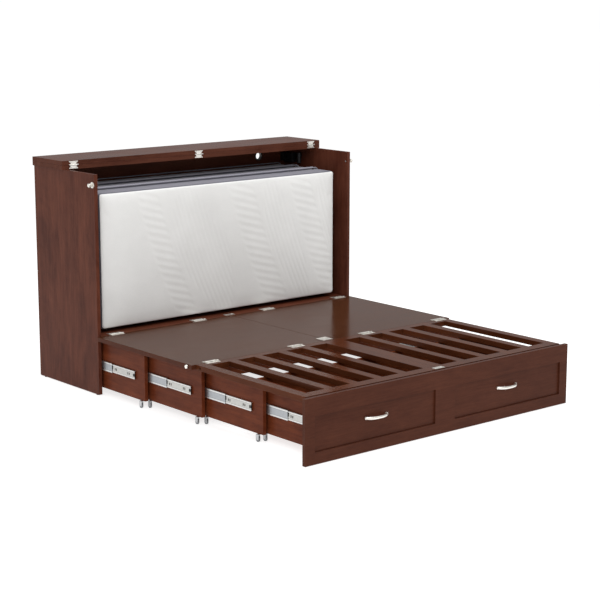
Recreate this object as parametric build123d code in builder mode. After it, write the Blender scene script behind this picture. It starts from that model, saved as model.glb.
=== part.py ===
"""Cabinet bed: a chest whose front folds down over a telescoping base.

Stored as it stands open: lid folded back, deck laid out, base pulled out, mattress still folded inside.
X runs along the width, +Y points to the wall, Z is up from the floor; Y = 0 is the front of the sides.
"""
import os

from build123d import *

os.makedirs("parts", exist_ok=True)

# overall
half_width = 818
side_outer = 816
board = 19
side_inner = side_outer - board
depth = 531
side_top = 1084
foot_height = 4
back_thick = 16
edge_round = 1.5
footprint_shift = 519.25

# deck
deck_top = 293
deck_under = 272
slat_under = 268
fold_y = -768
deck_end = -1530
hinge_z = deck_top + 3
slatted_half = 794
platform_front = 2

# lid
lid_half = 826
lid_front = 265
lid_back = 547
leaf_thick = 21.3
lid_axis_y = 264.2
lid_axis_z = side_top + 21.6
lid_hinge_x = (-762, 0, 762)

# telescoping base
pitch = 32
slide_gap = 13
section_bottom = 35
tall_top = 270
low_top = 266
rail_thick = 12
rail_bottom = 180
slide_z = 150
section_outer = [side_inner - slide_gap - pitch * k for k in range(4)]
section_front = (-346, -753, -1159, -1542)
section_length = (527, 513, 499, 485)
section_top = (tall_top, tall_top, low_top, low_top)
inner_front = (-274, -680, -1086, -1487)
middle_front = (-85, -493, -901, -1302)
outer_front = (72, -274, -681, -1087)
outer_length = (425, 425, 425, 413)
slide_length = 425
slide_wall = 1.2
outer_profile = (2, slide_gap, 25)
middle_profile = (2, 10.8, 22.5)
inner_profile = (0, 8.6, 19.5)
slide_holes = (42, 54, 150, 162)

# casters
wheel_r = 12
wheel_width = 7
axle_r = 2
fork_half = 9
fork_wall = 1.4
fork_reach = 11
fork_low = 9
fork_foot = 15
caster_y = ((-322,), (-724, -348), (-1130, -751), (-1500, -1141))

# drawer front
face_front = -1562
face_bottom = 3
face_top = 293

# latch
latch_y = 15.5
latch_z = 1033
bolt_r = 4.8
bolt_bore_r = 5.4
rosette_r = 14.5
rosette_thick = 3.5
cup_r = 9
cup_floor = 1.2
knob_r = 9.5
knob_foot = side_outer + 16
knob_end = side_outer + 25
strike_y = 2 * fold_y + 737
strike_z = hinge_z - latch_y
strike_depth = 15

# power outlet
outlet_x = side_inner - 32
outlet_y = 430
outlet_low = 996
outlet_high = 1046
socket_y = 392
socket_r = 14
socket_low = 995
socket_high = 1052

# grommet in the back
grommet_x = 608
grommet_z = 1033
grommet_bore_r = 19.5
grommet_r = 23
flange_r = 27
flange_thick = 2

# mattress
mat_half = 763
mat_bottom = 301
mat_top = 991
mat_layers = ((52, 209), (211, 368), (370, 527))


def slab(x, y, z, mode=Mode.ADD):
    """Add a straight board, given its low and high limit along each axis."""
    with BuildSketch(Plane.XY.offset(z[0])) as outline:
        with Locations(((x[0] + x[1]) / 2, (y[0] + y[1]) / 2)):
            Rectangle(abs(x[1] - x[0]), y[1] - y[0])
    extrude(outline.sketch, amount=z[1] - z[0], mode=mode)


def slab_pair(x, y, z, mode=Mode.ADD):
    """Add the same board on the left and on the right."""
    slab((-x[1], -x[0]), y, z, mode)
    slab(x, y, z, mode)


def rod(center, radius, length, direction, mode=Mode.ADD):
    """Add a round bar that starts at center and runs along direction."""
    with BuildSketch(Plane(origin=center, z_dir=direction)) as outline:
        Circle(radius)
    extrude(outline.sketch, amount=length, mode=mode)


def write(piece, label):
    """Move a finished piece so the origin is the footprint's centre, label it and save it."""
    placed = Pos(0, footprint_shift, 0) * piece.part
    placed.label = label
    export_step(placed, f"parts/{label}.step")


# ---------------------------------------------------------------- cabinet carcass

for side, label in ((-1, "side_panel_left"), (1, "side_panel_right")):
    inner, outer = sorted((side * side_inner, side * side_outer))
    with BuildPart() as side_panel:
        slab((inner, outer), (0, depth), (foot_height, side_top))
        fillet(side_panel.edges().group_by(Axis.Y)[0], edge_round)
        rod((inner - 1, latch_y, latch_z), bolt_bore_r, board + 2, (1, 0, 0), Mode.SUBTRACT)
    write(side_panel, label)

seam_z = 545
with BuildPart() as back_panels:
    slab((-side_outer, side_outer), (depth, depth + back_thick), (foot_height, seam_z - 1))
    slab((-side_outer, side_outer), (depth, depth + back_thick), (seam_z + 1, side_top))
    rod((grommet_x, depth - 1, grommet_z), grommet_r, back_thick + 2, (0, 1, 0), Mode.SUBTRACT)
write(back_panels, "back_panels")

with BuildPart() as cable_grommet:
    rod((grommet_x, depth - flange_thick, grommet_z), flange_r, flange_thick, (0, 1, 0))
    rod((grommet_x, depth, grommet_z), grommet_r, back_thick, (0, 1, 0))
    rod((grommet_x, depth + back_thick, grommet_z), flange_r, flange_thick, (0, 1, 0))
    rod((grommet_x, depth - 3, grommet_z), grommet_bore_r, back_thick + 6, (0, 1, 0), Mode.SUBTRACT)
write(cable_grommet, "cable_grommet")

with BuildPart() as cabinet_platform:
    slab((-side_inner, side_inner), (platform_front, depth), (deck_under, deck_top))
write(cabinet_platform, "cabinet_platform")

# cleats carry the platform and stiffen the top corners
with BuildPart() as cabinet_cleats:
    slab_pair((side_inner - 12, side_inner), (20, depth), (252, deck_under))
    slab_pair((side_inner - board, side_inner), (290, 420), (side_top - board, side_top))
    slab((-side_inner + board, side_inner - board), (depth - board, depth), (side_top - 22, side_top))
write(cabinet_cleats, "cabinet_cleats")

with BuildPart() as glide_feet:
    for foot_x in (-side_outer + board / 2, side_outer - board / 2):
        for foot_y in (24, 505):
            rod((foot_x, foot_y, 0), 9, foot_height, (0, 0, 1))
write(glide_feet, "glide_feet")

# power outlet box, and in front of it an upright socket on the right side's inner face
with BuildPart() as charging_station:
    slab((outlet_x, side_inner), (outlet_y, depth), (outlet_low, outlet_high))
    fillet(charging_station.edges().filter_by(Axis.Y).group_by(Axis.X)[0], 5)
    with Locations((outlet_x, outlet_y + 32, 1022), (outlet_x, outlet_y + 68, 1022)):
        Box(6, 24, 26, mode=Mode.SUBTRACT)
    socket_x = side_inner - socket_r + 2
    rod((socket_x, socket_y, socket_low), socket_r - 2, socket_high - socket_low, (0, 0, 1))
    rod((socket_x, socket_y, socket_high - 22), socket_r, 22, (0, 0, 1))
    fillet(charging_station.faces().sort_by(Axis.Z)[-1].edges(), 3)
    slab((side_inner, side_inner + 5), (socket_y - 20, socket_y + 20), (outlet_low - 2, 1060), Mode.SUBTRACT)
write(charging_station, "charging_station")

# ---------------------------------------------------------------- folding lid

hinge_half = 27
hinge_waist = 10
wing_reach = 18.5
screw_r = 2.2
plate_thick = 1.6
knuckle_r = 2.8
knuckle_room = 3.3
pin_r = 1.5
bore_r = 1.85
play = 0.3
lid_leaves = (
    ("lid_rear_leaf", side_top, side_top + leaf_thick, lid_back),
    ("lid_front_leaf", 2 * lid_axis_z - side_top - leaf_thick, 2 * lid_axis_z - side_top - 0.2, lid_back),
)
for label, low, high, back_y in lid_leaves:
    with BuildPart() as lid_leaf:
        slab((-lid_half, lid_half), (lid_front, back_y), (low, high))
        fillet(lid_leaf.edges().filter_by(Axis.Z), 3)
        for x in lid_hinge_x:
            slab(
                (x - hinge_half - play, x + hinge_half + play),
                (lid_front - 1, lid_front + plate_thick),
                (low - 1, high + 1),
                Mode.SUBTRACT,
            )
            start = (x - hinge_half - play, lid_axis_y, lid_axis_z)
            rod(start, knuckle_room, 2 * (hinge_half + play), (1, 0, 0), Mode.SUBTRACT)
    write(lid_leaf, label)

lid_plates = (
    ("lid_hinge_plates_rear", -1, ((-27, -10), (10, 27))),
    ("lid_hinge_plates_front", 1, ((-9.6, 9.6),)),
)
for label, way, knuckles in lid_plates:
    with BuildPart() as lid_plate:
        for x in lid_hinge_x:
            near = lid_axis_z + way * 0.5
            far = lid_axis_z + way * wing_reach
            with BuildSketch(Plane((x, lid_front + plate_thick, 0), (1, 0, 0), (0, -1, 0))) as wing:
                with BuildLine():
                    Polyline(
                        (-hinge_waist, near),
                        (-hinge_half, far),
                        (hinge_half, far),
                        (hinge_waist, near),
                        close=True,
                    )
                make_face()
                with Locations((-15, lid_axis_z + way * 13), (15, lid_axis_z + way * 13)):
                    Circle(screw_r, mode=Mode.SUBTRACT)
            extrude(wing.sketch, amount=plate_thick)
            slab(
                (x - hinge_half, x + hinge_half),
                (lid_axis_y - 4, lid_axis_y + 4),
                (lid_axis_z - 3.2, lid_axis_z + 3.2),
                Mode.SUBTRACT,
            )
            for start, end in knuckles:
                rod((x + start, lid_axis_y, lid_axis_z), knuckle_r, end - start, (1, 0, 0))
                slab(
                    (x + max(start, -18), x + min(end, 18)),
                    (lid_front, lid_front + plate_thick),
                    sorted((lid_axis_z + way, lid_axis_z + way * 6)),
                )
            if way < 0:
                rod((x - 26, lid_axis_y, lid_axis_z), pin_r, 52, (1, 0, 0))
            else:
                rod((x - 10, lid_axis_y, lid_axis_z), bore_r, 20, (1, 0, 0), Mode.SUBTRACT)
    write(lid_plate, label)

# ---------------------------------------------------------------- latches

with BuildPart() as latch_bushes:
    for side in (-1, 1):
        way = (side, 0, 0)
        rod((side * side_outer, latch_y, latch_z), rosette_r, rosette_thick, way)
        rod((side * (side_outer + cup_floor), latch_y, latch_z), cup_r, rosette_thick, way, Mode.SUBTRACT)
        rod((side * side_outer, latch_y, latch_z), bolt_bore_r, rosette_thick, way, Mode.SUBTRACT)
write(latch_bushes, "latch_bushes")

# each bolt stands pulled out; pushed in 12 mm it enters the folded deck's edge
bolt_profile = (
    (side_inner - 0.5, 0),
    (side_inner - 0.5, bolt_r),
    (knob_foot, bolt_r),
    (knob_foot, knob_r - 1.5),
    (knob_foot + 2, knob_r),
    (knob_end - 2.5, knob_r),
    (knob_end, knob_r - 3),
    (knob_end, 0),
)
for side, label in ((-1, "latch_bolt_left"), (1, "latch_bolt_right")):
    with BuildPart() as latch_bolt:
        with BuildSketch(Plane.XY.offset(latch_z)) as knob_outline:
            with BuildLine():
                Polyline([(side * x, latch_y + r) for x, r in bolt_profile], close=True)
            make_face()
        revolve(knob_outline.sketch, Axis((0, latch_y, latch_z), (1, 0, 0)))
    write(latch_bolt, label)

# ---------------------------------------------------------------- solid deck

solid_rear = -1
inset_depth = 5
stud_y = -737
stud_z = 283
stud_r = 9
for side, label in ((-1, "deck_panel_left"), (1, "deck_panel_right")):
    inner, outer = sorted((side * 0.5, side * half_width))
    inlay = sorted((side * 62, side * 765))
    with BuildPart() as deck_panel:
        slab((inner, outer), (fold_y + 1, solid_rear), (deck_under, deck_top))
        fillet(deck_panel.edges().filter_by(Axis.Y), edge_round)
        slab(inlay, (fold_y + 62, solid_rear - 60), (deck_under - 1, deck_under + inset_depth), Mode.SUBTRACT)
    write(deck_panel, label)

with BuildPart() as deck_edge_studs:
    for side in (-1, 1):
        rod((side * half_width, stud_y, stud_z), stud_r - 3, 6, (side, 0, 0))
        rod((side * (half_width + 4), stud_y, stud_z), stud_r, 6, (side, 0, 0))
    fillet(deck_edge_studs.edges().group_by(Axis.X)[0] + deck_edge_studs.edges().group_by(Axis.X)[-1], 1.5)
write(deck_edge_studs, "deck_edge_studs")

# ---------------------------------------------------------------- slatted deck

slat_centers = (183.5, 327, 470.5, 614)
slat_half = 24
stile_in = 744
gap_half = 0.25
centre_half = 55
rail_rear = fold_y - 44
rail_front = deck_end + 55
with BuildPart() as slatted_frame:
    slab_pair((stile_in, slatted_half), (deck_end, fold_y - 1), (slat_under, deck_top))
    fillet(slatted_frame.edges().filter_by(Axis.Y), edge_round)
    slab_pair((gap_half, stile_in), (rail_rear, fold_y - 1), (slat_under, deck_top))
    slab_pair((gap_half, stile_in), (deck_end, rail_front), (slat_under, deck_top))
    for side in (-1, 1):
        start = (side * (slatted_half + 1), strike_y, strike_z)
        rod(start, bolt_bore_r, strike_depth, (-side, 0, 0), Mode.SUBTRACT)
write(slatted_frame, "slatted_frame")

with BuildPart() as deck_slats:
    for center in slat_centers:
        slab_pair((center - slat_half, center + slat_half), (rail_front, rail_rear), (slat_under, deck_top))
    fillet(deck_slats.edges().filter_by(Axis.Y), edge_round)
write(deck_slats, "deck_slats")

with BuildPart() as deck_centre_board:
    slab_pair((gap_half, centre_half), (rail_front, rail_rear), (slat_under, deck_top))
write(deck_centre_board, "deck_centre_board")

# ---------------------------------------------------------------- deck hinges

deck_hinge_x = (-706, -205, 243, 740)
deck_hinge_half = 38
fixed_knuckles = ((-38, -20), (-7, 7), (20, 38))
swing_knuckles = ((-19.5, -7.5), (7.5, 19.5))
strap_half = 30
strap_thick = 2


def leaf_plates(axis_y, way, knuckles, reach, pinned):
    """Add one half of every hinge on a fold line, reaching along Y the given way."""
    limits = sorted((axis_y + way * 3.6, axis_y + way * reach))
    for x in deck_hinge_x:
        slab((x - deck_hinge_half, x + deck_hinge_half), limits, (deck_top, deck_top + plate_thick))
        for start, end in knuckles:
            bridge = sorted((axis_y, axis_y + way * 4))
            slab((x + start, x + end), bridge, (deck_top + play, deck_top + plate_thick + play))
            rod((x + start, axis_y, hinge_z), knuckle_r, end - start, (1, 0, 0))
        if pinned:
            rod((x - deck_hinge_half + 1, axis_y, hinge_z), pin_r, 2 * deck_hinge_half - 2, (1, 0, 0))
        else:
            rod((x - 20, axis_y, hinge_z), bore_r, 40, (1, 0, 0), Mode.SUBTRACT)


with BuildPart() as platform_hinge_leaves:
    leaf_plates(0, 1, fixed_knuckles, 36, True)
    slab((-strap_half, strap_half), (6, 34), (deck_top, deck_top + strap_thick))
write(platform_hinge_leaves, "platform_hinge_leaves")

with BuildPart() as deck_hinge_leaves:
    leaf_plates(0, -1, swing_knuckles, 16, False)
    leaf_plates(fold_y, 1, fixed_knuckles, 24, True)
    slab((-strap_half, strap_half), (fold_y + 4, fold_y + 62), (deck_top, deck_top + strap_thick))
write(deck_hinge_leaves, "deck_hinge_leaves")

with BuildPart() as slatted_hinge_leaves:
    leaf_plates(fold_y, -1, swing_knuckles, 24, False)
    slab((-strap_half, strap_half), (deck_end + 2, deck_end + 30), (deck_top, deck_top + strap_thick))
write(slatted_hinge_leaves, "slatted_hinge_leaves")

# ---------------------------------------------------------------- slides


def channel(child_face, profile, y_limits):
    """Add a C channel on both sides: flanges from root out to crown, web at the crown."""
    root, crown, spread = profile
    low = slide_z - spread
    high = slide_z + spread
    slab_pair((child_face + root, child_face + crown), y_limits, (low, low + slide_wall))
    slab_pair((child_face + root, child_face + crown), y_limits, (high - slide_wall, high))
    slab_pair((child_face + crown - slide_wall, child_face + crown), y_limits, (low, high))


with BuildPart() as cabinet_slides:
    channel(section_outer[0], outer_profile, (outer_front[0], outer_front[0] + outer_length[0]))
write(cabinet_slides, "cabinet_slides")

for k in range(4):
    with BuildPart() as middle_slides:
        channel(section_outer[k], middle_profile, (middle_front[k], middle_front[k] + slide_length))
    write(middle_slides, f"middle_slides_{k + 1}")

for k in range(4):
    face = section_outer[k]
    with BuildPart() as section_slides:
        channel(face, inner_profile, (inner_front[k], inner_front[k] + slide_length))
        with Locations((face + 8, inner_front[k], slide_z), (-face - 8, inner_front[k], slide_z)):
            Box(4, 28, 14, mode=Mode.SUBTRACT)
        for hole in slide_holes:
            start = inner_front[k] + hole
            slab_pair((face + 7, face + 9), (start, start + 6), (slide_z - 6, slide_z + 6), Mode.SUBTRACT)
        if k < 3:
            span = (outer_front[k + 1], outer_front[k + 1] + outer_length[k + 1])
            channel(section_outer[k + 1], outer_profile, span)
    write(section_slides, f"section_{k + 1}_slides")

# ---------------------------------------------------------------- base sections

for k in range(4):
    front = section_front[k]
    rear = front + section_length[k]
    outer = section_outer[k]
    inner = outer - board
    with BuildPart() as section_sides:
        slab_pair((inner, outer), (front, rear), (section_bottom, section_top[k]))
        fillet(section_sides.edges().filter_by(Axis.Z).group_by(Axis.Y)[0], edge_round)
    write(section_sides, f"section_{k + 1}_sides")
    if k < 3:
        with BuildPart() as section_rail:
            slab((-inner, inner), (rear - rail_thick, rear), (rail_bottom, section_top[k]))
        write(section_rail, f"section_{k + 1}_rail")

drawer_half = section_outer[3] - board
drawer_rear = section_front[3] + section_length[3]
drawer_floor = 45
with BuildPart() as drawer_back:
    slab((-drawer_half, drawer_half), (drawer_rear - rail_thick, drawer_rear), (section_bottom, low_top))
write(drawer_back, "drawer_back")

with BuildPart() as drawer_bottom:
    slab(
        (-drawer_half, drawer_half),
        (section_front[3], drawer_rear - rail_thick),
        (drawer_floor, drawer_floor + 8),
    )
write(drawer_bottom, "drawer_bottom")

# ---------------------------------------------------------------- casters

for k in range(4):
    face = section_outer[k]
    outer_arm = (face + fork_reach - fork_wall, face + fork_reach)
    foot_top = (section_bottom - fork_wall, section_bottom)
    with BuildPart() as caster_forks:
        for y in caster_y[k]:
            span = (y - fork_half, y + fork_half)
            slab_pair((face - fork_foot, face + fork_reach), span, foot_top)
            slab_pair((face, face + fork_wall), span, (fork_low, section_bottom))
            slab_pair(outer_arm, span, (fork_low, section_bottom))
            for side in (-1, 1):
                rod((side * face, y, wheel_r), axle_r, fork_reach, (side, 0, 0))
    write(caster_forks, f"caster_forks_{k + 1}")
    for n, y in enumerate(caster_y[k]):
        with BuildPart() as caster_wheels:
            for side in (-1, 1):
                rod((side * (face + 2), y, wheel_r), wheel_r, wheel_width, (side, 0, 0))
                rod((side * face, y, wheel_r), axle_r + 0.35, fork_reach, (side, 0, 0), Mode.SUBTRACT)
            fillet(caster_wheels.edges().filter_by(GeomType.CIRCLE).group_by(SortBy.RADIUS)[-1], 1)
        write(caster_wheels, f"caster_wheels_{k + 1}{'ab'[n]}")

# ---------------------------------------------------------------- drawer front

face_rear = section_front[3]
window_x = (62, 765)
window_z = (56, 212)
panel_set_back = 8
with BuildPart() as face_frame:
    slab((-half_width, half_width), (face_front, face_rear), (face_bottom, face_top))
    fillet(face_frame.edges().group_by(Axis.Y)[0], edge_round)
    slab_pair(window_x, (face_front - 1, face_rear + 1), window_z, Mode.SUBTRACT)
write(face_frame, "face_frame")

with BuildPart() as face_panels:
    slab_pair(window_x, (face_front + panel_set_back, face_rear), window_z)
write(face_panels, "face_panels")

pull_x = (-415, 402)
pull_z = 153
pull_reach = 29.63
pull_half = 60
shoulder_half = 44
shoulder_reach = 21
panel_y = face_front + panel_set_back
with BuildPart() as drawer_pulls:
    for x in pull_x:
        for foot in (-pull_half, pull_half):
            rod((x + foot, panel_y, pull_z), 6.5, 6, (0, -1, 0))
        with BuildLine(Plane.XY.offset(pull_z)) as bow:
            Spline(
                (x - pull_half, panel_y - 5),
                (x - shoulder_half, panel_y - shoulder_reach),
                (x, panel_y - pull_reach),
                (x + shoulder_half, panel_y - shoulder_reach),
                (x + pull_half, panel_y - 5),
            )
        with BuildSketch(Plane((x - pull_half, panel_y - 5, pull_z), (1, 0, 0), (0, -1, 0))) as grip:
            Ellipse(4.5, 6.2)
        sweep(sections=grip.sketch, path=bow.wires()[0])
write(drawer_pulls, "drawer_pulls")

# ---------------------------------------------------------------- mattress

for (front, rear), label in zip(mat_layers, ("mattress_front", "mattress_middle", "mattress_rear")):
    with BuildPart() as segment:
        slab((-mat_half, mat_half), (front, rear), (mat_bottom, mat_top))
        fillet(segment.edges().filter_by(Axis.Y), 30)
        fillet(segment.edges().group_by(Axis.Y)[0] + segment.edges().group_by(Axis.Y)[-1], 16)
    write(segment, label)
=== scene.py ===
"""Looks of the cabinet bed: stained walnut, zinc slides, nickel fittings and a quilted folding mattress."""
import math

import bmesh
import bpy
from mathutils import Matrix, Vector


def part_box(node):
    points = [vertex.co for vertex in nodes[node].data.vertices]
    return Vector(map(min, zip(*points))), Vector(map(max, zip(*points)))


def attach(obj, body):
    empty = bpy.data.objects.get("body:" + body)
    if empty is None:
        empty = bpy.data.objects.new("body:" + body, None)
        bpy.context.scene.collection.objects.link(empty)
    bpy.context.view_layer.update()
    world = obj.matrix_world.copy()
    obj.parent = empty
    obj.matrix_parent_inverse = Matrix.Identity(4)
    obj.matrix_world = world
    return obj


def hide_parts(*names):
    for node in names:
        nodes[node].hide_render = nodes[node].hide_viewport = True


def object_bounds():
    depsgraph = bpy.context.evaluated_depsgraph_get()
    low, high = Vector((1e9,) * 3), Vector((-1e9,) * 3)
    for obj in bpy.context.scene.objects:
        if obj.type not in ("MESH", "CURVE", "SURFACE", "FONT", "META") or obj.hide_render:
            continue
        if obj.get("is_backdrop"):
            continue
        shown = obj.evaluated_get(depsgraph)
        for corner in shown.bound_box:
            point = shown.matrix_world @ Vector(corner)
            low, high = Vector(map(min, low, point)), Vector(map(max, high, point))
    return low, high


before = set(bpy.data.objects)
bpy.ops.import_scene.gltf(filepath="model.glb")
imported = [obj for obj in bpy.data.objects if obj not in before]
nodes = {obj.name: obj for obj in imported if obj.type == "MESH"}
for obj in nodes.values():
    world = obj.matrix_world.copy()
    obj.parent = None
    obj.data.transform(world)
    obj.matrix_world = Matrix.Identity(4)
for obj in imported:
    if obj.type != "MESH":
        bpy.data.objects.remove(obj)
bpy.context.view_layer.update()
scene = bpy.context.scene

SECTIONS = (1, 2, 3, 4)
FRONT_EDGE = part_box("side_panel_left")[0][1]
DECK_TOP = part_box("deck_panel_left")[1][2]
SLIDE_HEIGHT = sum(corner[2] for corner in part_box("section_1_slides")) / 2


# ---------------------------------------------------------------- shader helpers


class Shader:
    """A node material with short calls for the nodes used here."""

    def __init__(self, name, roughness=0.5, metallic=0.0):
        self.material = bpy.data.materials.new(name)
        self.material.use_nodes = True
        self.tree = self.material.node_tree
        self.surface = self.tree.nodes["Principled BSDF"]
        self.set("Roughness", roughness)
        self.set("Metallic", metallic)
        self.place = self.add("ShaderNodeTexCoord").outputs["Object"]

    def add(self, kind, **values):
        node = self.tree.nodes.new(kind)
        for key, value in values.items():
            setattr(node, key, value)
        return node

    def link(self, source, target):
        self.tree.links.new(source, target)

    def set(self, socket, value):
        self.surface.inputs[socket].default_value = value

    def stretched(self, scale):
        """Object coordinates scaled per axis, for grain and brushing."""
        mapping = self.add("ShaderNodeMapping")
        mapping.inputs["Scale"].default_value = scale
        self.link(self.place, mapping.inputs["Vector"])
        return mapping.outputs["Vector"]

    def noise(self, vector, scale, detail=4.0, rough=0.55, distortion=0.0):
        node = self.add("ShaderNodeTexNoise")
        node.inputs["Scale"].default_value = scale
        node.inputs["Detail"].default_value = detail
        node.inputs["Roughness"].default_value = rough
        node.inputs["Distortion"].default_value = distortion
        self.link(vector, node.inputs["Vector"])
        return node.outputs["Fac"]

    def ramp(self, source, stops):
        """Colours at positions from 0 to 1."""
        node = self.add("ShaderNodeValToRGB")
        while len(node.color_ramp.elements) < len(stops):
            node.color_ramp.elements.new(0.5)
        for element, (position, color) in zip(node.color_ramp.elements, stops):
            element.position = position
            element.color = (*color, 1.0)
        self.link(source, node.inputs["Fac"])
        return node.outputs["Color"]

    def math(self, operation, a, b=0.0):
        node = self.add("ShaderNodeMath", operation=operation)
        for socket, value in zip(node.inputs, (a, b)):
            if isinstance(value, (int, float)):
                socket.default_value = value
            else:
                self.link(value, socket)
        return node.outputs[0]

    def remap(self, source, low, high):
        """Spread a 0 to 1 value from low to high."""
        node = self.add("ShaderNodeMapRange")
        node.inputs["To Min"].default_value = low
        node.inputs["To Max"].default_value = high
        self.link(source, node.inputs["Value"])
        return node.outputs["Result"]

    def mix(self, factor, a, b, blend="MIX"):
        """Blend two colours, each given as a value or as another node's output."""
        node = self.add("ShaderNodeMix", data_type="RGBA", blend_type=blend)
        for socket, value in ((node.inputs[0], factor), (node.inputs[6], a), (node.inputs[7], b)):
            if isinstance(value, (int, float)):
                socket.default_value = value
            elif isinstance(value, tuple):
                socket.default_value = (*value, 1.0)
            else:
                self.link(value, socket)
        return node.outputs[2]

    def bump(self, height, distance, strength):
        node = self.add("ShaderNodeBump")
        node.inputs["Distance"].default_value = distance
        node.inputs["Strength"].default_value = strength
        self.link(height, node.inputs["Height"])
        self.link(node.outputs["Normal"], self.surface.inputs["Normal"])

    def split(self, vector):
        node = self.add("ShaderNodeSeparateXYZ")
        self.link(vector, node.inputs["Vector"])
        return node.outputs


def along(axis, length, width):
    """Per-axis scale with the long direction on one axis."""
    return tuple(length if i == "xyz".index(axis) else width for i in range(3))


def wood(name, axis, tone, roughness, ior=1.16, contrast=1.0, underside=None):
    """Stained veneer whose grain runs along one axis, redder below a height if one is given."""
    s = Shader(name, roughness)
    streak = s.noise(s.stretched(along(axis, 0.9, 7.0)), 2.2, 6.0, 0.62, 1.1)
    blotch = s.noise(s.stretched(along(axis, 4.5, 9.0)), 1.0, 5.0, 0.66, 0.5)
    fine = s.noise(s.stretched(along(axis, 3.0, 60.0)), 2.0, 6.0, 0.62, 0.4)
    pores = s.noise(s.stretched(along(axis, 12.0, 260.0)), 2.4, 3.0, 0.5)
    grain = s.math("ADD", s.math("MULTIPLY", streak, 0.45), s.math("MULTIPLY", blotch, 0.55))
    dark = tuple(c * (1 - contrast * d) for c, d in zip(tone, (0.38, 0.48, 0.50)))
    light = tuple(c * (1 + contrast * d) for c, d in zip(tone, (0.36, 0.44, 0.46)))
    color = s.ramp(grain, ((0.34, dark), (0.50, tone), (0.66, light)))
    low = 1 - 0.17 * contrast
    lines = s.ramp(fine, ((0.36, (low, low * 0.97, low * 0.96)), (0.60, (1.06, 1.06, 1.06))))
    specks = s.ramp(pores, ((0.34, (0.66, 0.60, 0.58)), (0.45, (1.0, 1.0, 1.0))))
    color = s.mix(1.0, color, lines, "MULTIPLY")
    color = s.mix(0.5, color, specks, "MULTIPLY")
    if underside is not None:
        below = s.math("LESS_THAN", s.split(s.place)[2], underside)
        color = s.mix(below, color, s.mix(1.0, color, (1.06, 0.88, 0.98), "MULTIPLY"))
    s.link(color, s.surface.inputs["Base Color"])
    gloss = s.remap(blotch, roughness - 0.08, roughness + 0.10)
    s.link(gloss, s.surface.inputs["Roughness"])
    height = s.math("ADD", s.math("MULTIPLY", pores, 0.6), s.math("MULTIPLY", fine, 0.4))
    s.bump(height, 0.00018, 0.45)
    s.set("IOR", ior)
    return s.material


def metal(name, tint, roughness, brushed, cloud=0.12):
    """Plated steel with fine brushing and a slight mottle."""
    s = Shader(name, roughness, 1.0)
    lines = s.noise(s.stretched(brushed), 3.0, 3.0, 0.6)
    mottle = s.noise(s.place, 55.0, 4.0, 0.6)
    dull = tuple(c * (1 - cloud * 2.2) for c in tint)
    color = s.ramp(s.math("ADD", s.math("MULTIPLY", mottle, 0.7), s.math("MULTIPLY", lines, 0.3)),
                   ((0.35, dull), (0.62, tint)))
    s.link(color, s.surface.inputs["Base Color"])
    s.link(s.remap(mottle, roughness - 0.07, roughness + 0.14), s.surface.inputs["Roughness"])
    s.bump(lines, 0.00006, 0.6)
    return s.material


def plastic(name, tint, roughness, grain=420.0):
    """Moulded plastic with a fine spark-eroded texture."""
    s = Shader(name, roughness)
    spark = s.noise(s.place, grain, 3.0, 0.6)
    cloud = s.noise(s.place, 14.0, 3.0, 0.6)
    darker = tuple(c * 0.8 for c in tint)
    s.link(s.ramp(cloud, ((0.3, darker), (0.7, tint))), s.surface.inputs["Base Color"])
    s.link(s.remap(spark, roughness - 0.06, roughness + 0.12), s.surface.inputs["Roughness"])
    s.bump(spark, 0.00012, 0.5)
    return s.material


# ---------------------------------------------------------------- materials on the CAD nodes

VENEER = 0.001

side_wood = wood("walnut_upright", "z", (0.102, 0.0300, 0.0170), 0.36)
lid_wood = wood("walnut_lid", "x", (0.090, 0.0290, 0.0170), 0.28, 1.12, 0.7)
face_wood = wood("walnut_front", "x", (0.074, 0.0218, 0.0112), 0.34, 1.16, 0.5)
stile_wood = wood("walnut_back", "x", (0.100, 0.0290, 0.0150), 0.42, 1.16, 0.6)
deck_wood = wood("walnut_deck", "x", (0.066, 0.0235, 0.0105), 0.15, 1.14, 0.35,
                 DECK_TOP - VENEER)
slat_wood = wood("walnut_slat", "y", (0.084, 0.0242, 0.0096), 0.18, 1.13, 0.6)
# Section sides: the walnut stain painted brighter and more orange, as painted bounce light from the floor.
bounce_lit_base_wood = wood("walnut_base", "y", (0.122, 0.0280, 0.0105), 0.34)
inner_wood = wood("walnut_inner", "x", (0.170, 0.0440, 0.0150), 0.42)

nickel = metal("satin_nickel", (0.93, 0.90, 0.84), 0.34, (14, 90, 90), 0.06)
zinc = metal("bright_zinc", (0.58, 0.59, 0.60), 0.34, (120, 6, 160), 0.10)


def painted_rim_zinc(name, node, rim, middle, edge):
    """Zinc slide with painted highlight as bright bands on its rolled edges above and below, and painted
    shade in its duller grooved middle.
    """
    low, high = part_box(node)
    half_height = (high[2] - low[2]) / 2
    s = Shader(name, 0.36, 1.0)
    height = s.split(s.place)[2]
    away = s.math("ABSOLUTE", s.math("SUBTRACT", height, SLIDE_HEIGHT))
    share = s.math("DIVIDE", away, half_height)
    spangle = s.noise(s.place, 70.0, 4.0, 0.6)
    # Painted shade in the middle and its darker groove lines, painted highlight in the bright bands on the
    # rims.
    groove_shade = tuple(c * 0.6 for c in middle)
    band = s.ramp(share, (
        (0.0, middle),
        (rim - 0.14, middle),
        (rim - 0.04, groove_shade),
        (rim + 0.02, edge),
        (0.95, edge),
    ))
    cloud = s.ramp(spangle, ((0.35, (0.86, 0.87, 0.89)), (0.65, (1.0, 1.0, 1.0))))
    s.link(s.mix(1.0, band, cloud, "MULTIPLY"), s.surface.inputs["Base Color"])
    s.link(s.remap(spangle, 0.28, 0.46), s.surface.inputs["Roughness"])
    lines = s.noise(s.stretched((160, 5, 200)), 3.0, 3.0, 0.6)
    s.bump(lines, 0.00005, 0.5)
    return s.material


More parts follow.
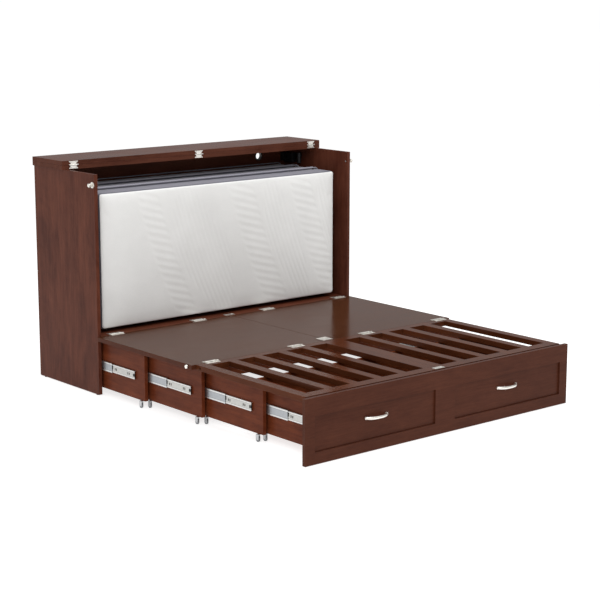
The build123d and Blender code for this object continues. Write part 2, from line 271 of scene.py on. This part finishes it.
# For each slide, the middle colour is painted shade and the edge colour is a painted highlight.
zinc_middle = painted_rim_zinc("zinc_middle", "middle_slides_1", 0.70, (0.40, 0.415, 0.43), (0.68, 0.68, 0.67))
zinc_inner = painted_rim_zinc("zinc_inner", "section_4_slides", 0.72, (0.52, 0.515, 0.49), (0.70, 0.69, 0.67))

black_plastic = plastic("black_plastic", (0.012, 0.012, 0.014), 0.45)
brown_plastic = plastic("brown_plastic", (0.030, 0.017, 0.012), 0.5)
wheel_plastic = plastic("grey_wheel", (0.20, 0.205, 0.215), 0.30)

FINISH = {
    side_wood: ("side_panel_left", "side_panel_right"),
    lid_wood: ("lid_rear_leaf", "lid_front_leaf"),
    face_wood: ("face_frame", "face_panels"),
    stile_wood: ("back_panels", "cabinet_platform", "cabinet_cleats"),
    deck_wood: ("deck_panel_left", "deck_panel_right"),
    slat_wood: ("slatted_frame", "deck_slats", "deck_centre_board"),
    bounce_lit_base_wood: tuple(f"section_{k}_sides" for k in SECTIONS),
    inner_wood: ("section_1_rail", "section_2_rail", "section_3_rail", "drawer_back", "drawer_bottom"),
    nickel: (
        "lid_hinge_plates_rear", "lid_hinge_plates_front", "latch_bushes", "latch_bolt_left",
        "latch_bolt_right", "deck_edge_studs", "platform_hinge_leaves", "deck_hinge_leaves",
        "slatted_hinge_leaves", "drawer_pulls",
    ),
    zinc: ("cabinet_slides", *(f"caster_forks_{k}" for k in SECTIONS)),
    zinc_middle: tuple(f"middle_slides_{k}" for k in SECTIONS),
    zinc_inner: tuple(f"section_{k}_slides" for k in SECTIONS),
    brown_plastic: ("cable_grommet", "glide_feet"),
    black_plastic: ("charging_station",),
    wheel_plastic: tuple(n for n in nodes if n.startswith("caster_wheels")),
}
for material, names in FINISH.items():
    for name in names:
        slots = nodes[name].data.materials
        slots.clear()
        slots.append(material)


# ---------------------------------------------------------------- mesh helpers


def mesh_object(name, bm, material, body):
    """Turn a bmesh into an object that rides on a body."""
    mesh = bpy.data.meshes.new(name)
    bm.to_mesh(mesh)
    bm.free()
    obj = bpy.data.objects.new(name, mesh)
    scene.collection.objects.link(obj)
    mesh.materials.append(material)
    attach(obj, body)
    return obj


def smooth_shade(obj):
    """Shade every face smooth."""
    for polygon in obj.data.polygons:
        polygon.use_smooth = True


def join_copy(target, source, shift):
    """Add a copy of one bmesh to another, moved by a shift."""
    made = {v: target.verts.new(v.co + shift) for v in source.verts}
    for face in source.faces:
        target.faces.new([made[v] for v in face.verts])


def disc_head(radius, height):
    """A domed screw head with a cross recess, standing on the origin along +Z."""
    bm = bmesh.new()
    rings = ((1.0, 0.0), (1.0, 0.35), (0.86, 0.75), (0.6, 1.0), (0.3, 1.0))
    recess = 0.55
    steps = 16
    loops = []
    for share, rise in rings:
        ring = []
        for i in range(steps):
            turn = 2 * math.pi * i / steps
            dip = recess if share <= 0.6 and i % 4 == 0 else 0.0
            out = radius * share
            ring.append(bm.verts.new((out * math.cos(turn), out * math.sin(turn), height * (rise - dip))))
        loops.append(ring)
    for low, high in zip(loops, loops[1:]):
        for i in range(steps):
            j = (i + 1) % steps
            bm.faces.new((low[i], low[j], high[j], high[i]))
    center = bm.verts.new((0, 0, height * 0.4))
    for i in range(steps):
        bm.faces.new((loops[-1][i], loops[-1][(i + 1) % steps], center))
    return bm


def screws(name, points, radius, body):
    """One piece holding a screw head, facing up, at each point."""
    head = disc_head(radius, radius * 0.35)
    bm = bmesh.new()
    for point in points:
        join_copy(bm, head, Vector(point))
    head.free()
    bmesh.ops.recalc_face_normals(bm, faces=bm.faces)
    obj = mesh_object(name, bm, nickel, body)
    smooth_shade(obj)


# ---------------------------------------------------------------- hinge and slide details


def mm(x, y, z):
    """A point given in millimetres from the cabinet's front edge, in the row frame."""
    return (x / 1000, y / 1000 + FRONT_EDGE, z / 1000)


# Screw places are in millimetres, from the middle of the width and the cabinet's front edge.
HINGE_X = (-706, -205, 243, 740)
PLATE_X = (-18, 18)
HINGE_HEAD = 294.6
PLATE_HEAD = 295
SCREW_RADIUS = 0.0034
SMALL_SCREW_RADIUS = 0.0028
WIDE_LEAF = (-28, 0, 28)
NARROW_LEAF = (-28, 28)


def hinge_screws(name, leaf, y, radius, body):
    """A row of screws along each of the four hinge leaves at one depth."""
    screws(name, [mm(x + d, y, HINGE_HEAD) for x in HINGE_X for d in leaf], radius, body)


def plate_screws(name, depths, body):
    """A pair of screws at each depth of a flat mending plate on the middle line."""
    screws(name, [mm(x, y, PLATE_HEAD) for x in PLATE_X for y in depths], SCREW_RADIUS, body)


hinge_screws("screws_platform_hinges", WIDE_LEAF, 24, SCREW_RADIUS, "cabinet")
hinge_screws("screws_deck_hinges_rear", NARROW_LEAF, -10, SMALL_SCREW_RADIUS, "deck_solid")
hinge_screws("screws_deck_hinges_fold", WIDE_LEAF, -754, SCREW_RADIUS, "deck_solid")
hinge_screws("screws_slatted_hinges", WIDE_LEAF, -782, SCREW_RADIUS, "deck_slatted")
plate_screws("screws_platform_plate", (20,), "cabinet")
plate_screws("screws_deck_plate", (-756, -716), "deck_solid")
plate_screws("screws_slatted_plate", (-1514,), "deck_slatted")


def bar(bm, low, high, bevel):
    """A straight bar with rounded edges between two corners, in metres."""
    made = bmesh.ops.create_cube(bm, size=1.0)["verts"]
    size = [high[i] - low[i] for i in range(3)]
    middle = [(high[i] + low[i]) / 2 for i in range(3)]
    for v in made:
        v.co = Vector([v.co[i] * size[i] + middle[i] for i in range(3)])
    edges = list({e for v in made for e in v.link_edges})
    bmesh.ops.bevel(bm, geom=edges, offset=bevel, segments=2, affect="EDGES", profile=0.6)


def both_sides(name, x_limits, y_limits, z_limits, bevel, body):
    """The same small black bar on the left and on the right, as one piece, in metres."""
    bm = bmesh.new()
    for side in (-1, 1):
        xs = sorted((side * x_limits[0], side * x_limits[1]))
        bar(bm, (xs[0], y_limits[0], z_limits[0]), (xs[1], y_limits[1], z_limits[1]), bevel)
    mesh_object(name, bm, black_plastic, body)


def span(start, low, high):
    """Two limits measured from a start."""
    return (start + low, start + high)


CATCH_OUT = (0.0055, 0.0089)
CATCH_DEEP = (0.001, 0.012)
CATCH_TALL = (-0.0065, 0.0065)
CATCH_BEVEL = 0.0012
LEVER_OUT = (0.0089, 0.0113)
LEVER_DEEP = (-0.004, 0.001)
LEVER_TALL = (-0.004, 0.013)
LEVER_BEVEL = 0.0008

for k in SECTIONS:
    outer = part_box(f"section_{k}_sides")[1][0]
    inner_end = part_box(f"section_{k}_slides")[0][1]
    middle_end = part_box(f"middle_slides_{k}")[0][1]
    both_sides(f"slide_catch_{k}", span(outer, *CATCH_OUT), span(inner_end, *CATCH_DEEP),
               span(SLIDE_HEIGHT, *CATCH_TALL), CATCH_BEVEL, f"section_{k}")
    both_sides(f"slide_lever_{k}", span(outer, *LEVER_OUT), span(middle_end, *LEVER_DEEP),
               span(SLIDE_HEIGHT, *LEVER_TALL), LEVER_BEVEL, f"middle_slides_{k}")

# ---------------------------------------------------------------- mattress

PANEL_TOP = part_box("mattress_front")[1][2]
PANEL_MIDDLE = sum(corner[2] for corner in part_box("mattress_front")) / 2
SWAY_START = 0.0845
SWAY_SLOPE = 0.25
SWAY_CURVE = 0.18
RUCHE_DEPTH = 0.00055
RUCHE_PITCH = 0.043
RUCHE_SLOPE = 0.30
RIB_DEPTH = 0.0010
RIB_PITCH = 0.0275
TAPE_SHARE = 0.84
TAPE_PULL = 0.0022
TAPE_INSET = 0.0105
WALL = 0.0003
CORNER = 0.013
PAD_INSET = 0.006
PUFF_CAP = 0.0052
PUFF_PRESSURE = 4.0
PUFF_FRAMES = 20
FINE_VOXEL = 0.010
COARSE_VOXEL = 0.014
RUCHED = ((-0.458, -0.338), (0.112, 0.262), (0.512, 0.652))
RIBBED = ((-0.328, 0.002), (0.272, 0.486), (0.662, 0.80))


def ease(value, low, high):
    """Rise smoothly from 0 at low to 1 at high."""
    t = min(1.0, max(0.0, (value - low) / (high - low)))
    return t * t * (3 - 2 * t)


def band_share(s, low, high, soft):
    """How far inside a band a position is, from 0 outside to 1."""
    return ease(s, low - soft, low + soft) * ease(-s, -high - soft, -high + soft)


def quilt_depth(x, z):
    """Depth of the stitched pattern below the puffed face: swaying bands of ruches and of fine ribs."""
    drop = PANEL_TOP - z
    s = x - (SWAY_SLOPE * drop + SWAY_CURVE * drop * drop - SWAY_START)
    depth = 0.0
    for low, high in RUCHED:
        share = band_share(s, low, high, 0.012)
        if share > 0:
            wave = math.cos(2 * math.pi * (z + RUCHE_SLOPE * (s - low)) / RUCHE_PITCH)
            depth += share * RUCHE_DEPTH * (1 - wave)
    for low, high in RIBBED:
        share = band_share(s, low, high, 0.006)
        if share > 0:
            across = (s - low) / (high - low)
            reach = 0.30 * math.sin(math.pi * min(1.0, max(0.0, across))) + 0.03
            lens = band_share(z, PANEL_MIDDLE - reach - 0.02, PANEL_MIDDLE + reach + 0.02, 0.03)
            depth += share * lens * RIB_DEPTH * (1 - abs(math.sin(math.pi * (s - low) / RIB_PITCH)))
    return depth


def rounded_block(low, high, radius):
    """A closed block with round edges, as the pad before it is blown up."""
    bm = bmesh.new()
    bar(bm, low, high, radius)
    mesh = bpy.data.meshes.new("pad")
    bm.to_mesh(mesh)
    bm.free()
    obj = bpy.data.objects.new("pad", mesh)
    scene.collection.objects.link(obj)
    return obj


def bake(obj):
    """Replace the mesh by its evaluated shape and drop the modifiers."""
    graph = bpy.context.evaluated_depsgraph_get()
    mesh = bpy.data.meshes.new_from_object(obj.evaluated_get(graph))
    obj.modifiers.clear()
    obj.data = mesh


def inflate(obj):
    """Blow the pad up as cloth under slight pressure, moving no point further than the cap."""
    rest = [v.co.copy() for v in obj.data.vertices]
    cloth = obj.modifiers.new("cloth", "CLOTH")
    cloth.settings.use_pressure = True
    cloth.settings.uniform_pressure_force = PUFF_PRESSURE
    cloth.settings.effector_weights.gravity = 0.0
    cloth.point_cache.frame_start = 1
    cloth.point_cache.frame_end = PUFF_FRAMES
    for step in range(1, PUFF_FRAMES + 1):
        scene.frame_set(step)
    bake(obj)
    for v, start in zip(obj.data.vertices, rest):
        move = v.co - start
        if move.length > PUFF_CAP:
            v.co = start + move.normalized() * PUFF_CAP
    scene.frame_set(1)


def mattress_block(node, body, voxel, front_face):
    """One third of the mattress: blown up, pulled in under its tapes, and quilted on its front face."""
    low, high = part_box(node)
    low = Vector(low) + Vector((PAD_INSET,) * 3)
    high = Vector(high) - Vector((PAD_INSET,) * 3)
    obj = rounded_block(low, high, CORNER)
    remesh = obj.modifiers.new("remesh", "REMESH")
    remesh.mode = "VOXEL"
    remesh.voxel_size = voxel
    bake(obj)
    inflate(obj)
    smooth = obj.modifiers.new("smooth", "SUBSURF")
    smooth.levels = 1
    smooth.render_levels = 1
    bake(obj)
    low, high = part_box(node)
    middle = (low[1] + high[1]) / 2
    thick = (high[1] - low[1]) / 2
    for v in obj.data.vertices:
        side = (v.co.y - middle) / thick
        edge = min(v.co.x - low[0], high[0] - v.co.x, v.co.z - low[2], high[2] - v.co.z)
        if front_face:
            flat = ease(-side, 0.86, 0.93) * ease(edge, 0.016, 0.034)
            v.co.y += flat * quilt_depth(v.co.x, v.co.z)
        pull = math.exp(-((abs(side) - TAPE_SHARE) / 0.05) ** 2) * (1 - ease(edge, 0.010, 0.030))
        pull *= 0.0 if front_face and side < 0 else TAPE_PULL
        v.co.x -= math.copysign(pull, v.co.x)
        v.co.z -= math.copysign(pull, v.co.z - (low[2] + high[2]) / 2)
        for i in range(3):
            v.co[i] = min(max(v.co[i], low[i] + WALL), high[i] - WALL)
    smooth_shade(obj)
    obj.name = f"pad_{node}"
    obj.data.materials.clear()
    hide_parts(node)
    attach(obj, body)
    return obj


def knit(name, y_low, y_high):
    """White quilted knit on both big faces and a banded blue-grey knit round the edge."""
    s = Shader(name, 0.85)
    y = s.split(s.place)[1]
    middle = (y_low + y_high) / 2
    half = (y_high - y_low) / 2
    across = s.math("DIVIDE", s.math("SUBTRACT", y, middle), half)
    reach = s.math("ABSOLUTE", across)
    loops = s.noise(s.stretched((700, 700, 260)), 1.0, 2.0, 0.5)
    rows = s.add("ShaderNodeTexWave", wave_type="BANDS", bands_direction="X")
    rows.inputs["Scale"].default_value = 160.0
    rows.inputs["Distortion"].default_value = 1.5
    rows.inputs["Detail"].default_value = 1.0
    s.link(s.place, rows.inputs["Vector"])
    cloud = s.noise(s.place, 5.0, 3.0, 0.6)
    white = s.ramp(cloud, ((0.3, (0.80, 0.80, 0.785)), (0.7, (0.85, 0.85, 0.835))))
    shallow = s.ramp(loops, ((0.3, (0.88, 0.88, 0.88)), (0.6, (1.0, 1.0, 1.0))))
    white = s.mix(0.35, white, shallow, "MULTIPLY")
    band = s.ramp(reach, (
        (0.0, (0.215, 0.210, 0.250)),
        (0.22, (0.205, 0.200, 0.240)),
        (0.30, (0.150, 0.147, 0.180)),
        (0.36, (0.205, 0.200, 0.240)),
        (0.64, (0.190, 0.186, 0.225)),
        (0.74, (0.110, 0.108, 0.135)),
    ))
    deep = s.ramp(loops, ((0.3, (0.74, 0.74, 0.76)), (0.62, (1.08, 1.08, 1.08))))
    border = s.mix(0.6, band, deep, "MULTIPLY")
    edge = s.ramp(reach, ((0.850, (0.0, 0.0, 0.0)), (0.862, (1.0, 1.0, 1.0))))
    s.link(s.mix(edge, border, white), s.surface.inputs["Base Color"])
    height = s.math("ADD", s.math("MULTIPLY", loops, 0.7), s.math("MULTIPLY", rows.outputs["Fac"], 0.3))
    s.bump(height, 0.0006, 0.55)
    s.set("Sheen Weight", 0.25)
    s.set("Sheen Roughness", 0.5)
    s.set("Specular IOR Level", 0.25)
    return s.material


def tape(name, node, at_front, body, material):
    """The tape edge sewn round one face of a block, as a bulging rolled strip."""
    low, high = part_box(node)
    y = low[1] + TAPE_INSET if at_front else high[1] - TAPE_INSET
    round_at = 0.028
    roll = 0.0034
    points = 10
    lo_x, hi_x = low[0] + roll, high[0] - roll
    lo_z, hi_z = low[2] + roll, high[2] - roll
    corners = (
        (hi_x - round_at, hi_z - round_at, 0), (lo_x + round_at, hi_z - round_at, 90),
        (lo_x + round_at, lo_z + round_at, 180), (hi_x - round_at, lo_z + round_at, 270),
    )
    line = []
    for cx, cz, start in corners:
        for i in range(7):
            turn = math.radians(start + 15 * i)
            line.append((cx + round_at * math.cos(turn), cz + round_at * math.sin(turn), turn))
    bm = bmesh.new()
    rings = []
    for x, z, turn in line:
        ring = []
        for j in range(points):
            a = 2 * math.pi * j / points
            out = roll * math.cos(a)
            ring.append(bm.verts.new((x + out * math.cos(turn), y + roll * 1.5 * math.sin(a),
                                      z + out * math.sin(turn))))
        rings.append(ring)
    for i, ring in enumerate(rings):
        after = rings[(i + 1) % len(rings)]
        for j in range(points):
            k = (j + 1) % points
            bm.faces.new((ring[j], ring[k], after[k], after[j]))
    bmesh.ops.recalc_face_normals(bm, faces=bm.faces)
    smooth_shade(mesh_object(name, bm, material, body))


tape_cloth = Shader("tape_cloth", 0.8)
weave = tape_cloth.noise(tape_cloth.place, 900.0, 2.0, 0.5)
lilac = tape_cloth.ramp(weave, ((0.3, (0.20, 0.195, 0.235)), (0.65, (0.30, 0.295, 0.335))))
tape_cloth.link(lilac, tape_cloth.surface.inputs["Base Color"])
tape_cloth.bump(weave, 0.0004, 0.6)

for node, body, voxel, tapes in (
    ("mattress_front", "mattress_flap", FINE_VOXEL, ("rear",)),
    ("mattress_middle", "mattress_stack", COARSE_VOXEL, ("front", "rear")),
    ("mattress_rear", "mattress_stack", COARSE_VOXEL, ("front", "rear")),
):
    low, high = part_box(node)
    pad = mattress_block(node, body, voxel, "front" not in tapes)
    pad.data.materials.append(knit(f"knit_{node}", low[1], high[1]))
    for edge in tapes:
        tape(f"tape_{node}_{edge}", node, edge == "front", body, tape_cloth.material)


# ---------------------------------------------------------------- stage, light and camera


FLOOR_REACH = 250
FLOOR_GLOW = 0.76
WORLD_LIGHT = 0.48


def floor():
    """A wide pale floor."""
    bm = bmesh.new()
    bmesh.ops.create_grid(bm, x_segments=2, y_segments=2, size=FLOOR_REACH)
    mesh = bpy.data.meshes.new("floor")
    bm.to_mesh(mesh)
    bm.free()
    obj = bpy.data.objects.new("floor", mesh)
    scene.collection.objects.link(obj)
    s = Shader("floor_paint", 0.8)
    cloud = s.noise(s.place, 0.8, 3.0, 0.6)
    paint = s.ramp(cloud, ((0.3, (0.53, 0.53, 0.53)), (0.7, (0.57, 0.57, 0.57))))
    s.link(paint, s.surface.inputs["Base Color"])
    s.set("Emission Color", (1.0, 1.0, 1.0, 1.0))
    s.set("Emission Strength", FLOOR_GLOW)
    s.set("Specular IOR Level", 0.0)
    mesh.materials.append(s.material)
    obj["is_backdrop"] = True
    return obj


def area_light(name, place, target, size, power):
    """A square soft light aimed at a point."""
    data = bpy.data.lights.new(name, "AREA")
    data.energy = power
    data.size = size
    obj = bpy.data.objects.new(name, data)
    obj.location = place
    obj.rotation_euler = (Vector(target) - Vector(place)).to_track_quat("-Z", "Y").to_euler()
    scene.collection.objects.link(obj)
    return obj


floor()
world = bpy.data.worlds.new("studio")
world.use_nodes = True
world.node_tree.nodes["Background"].inputs["Color"].default_value = (1.0, 1.0, 1.0, 1.0)
world.node_tree.nodes["Background"].inputs["Strength"].default_value = WORLD_LIGHT
scene.world = world
area_light("key", (-4.6, -4.4, 4.4), (0.0, -0.2, 0.4), 3.0, 120)
area_light("top", (0.3, -0.8, 5.4), (0.0, 0.0, 0.0), 4.5, 200)

CAMERA_PLACE = (-5.0394, -6.0387, 2.0012)
CAMERA_DROP = 11.142
CAMERA_TURN = -39.999
camera_data = bpy.data.cameras.new("camera")
camera_data.sensor_width = 36.0
camera_data.lens = 98.01
camera = bpy.data.objects.new("camera", camera_data)
camera.location = CAMERA_PLACE
camera.rotation_euler = (math.radians(90 - CAMERA_DROP), 0.0, math.radians(CAMERA_TURN))
scene.collection.objects.link(camera)
scene.camera = camera
scene.view_settings.view_transform = "Standard"

low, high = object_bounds()
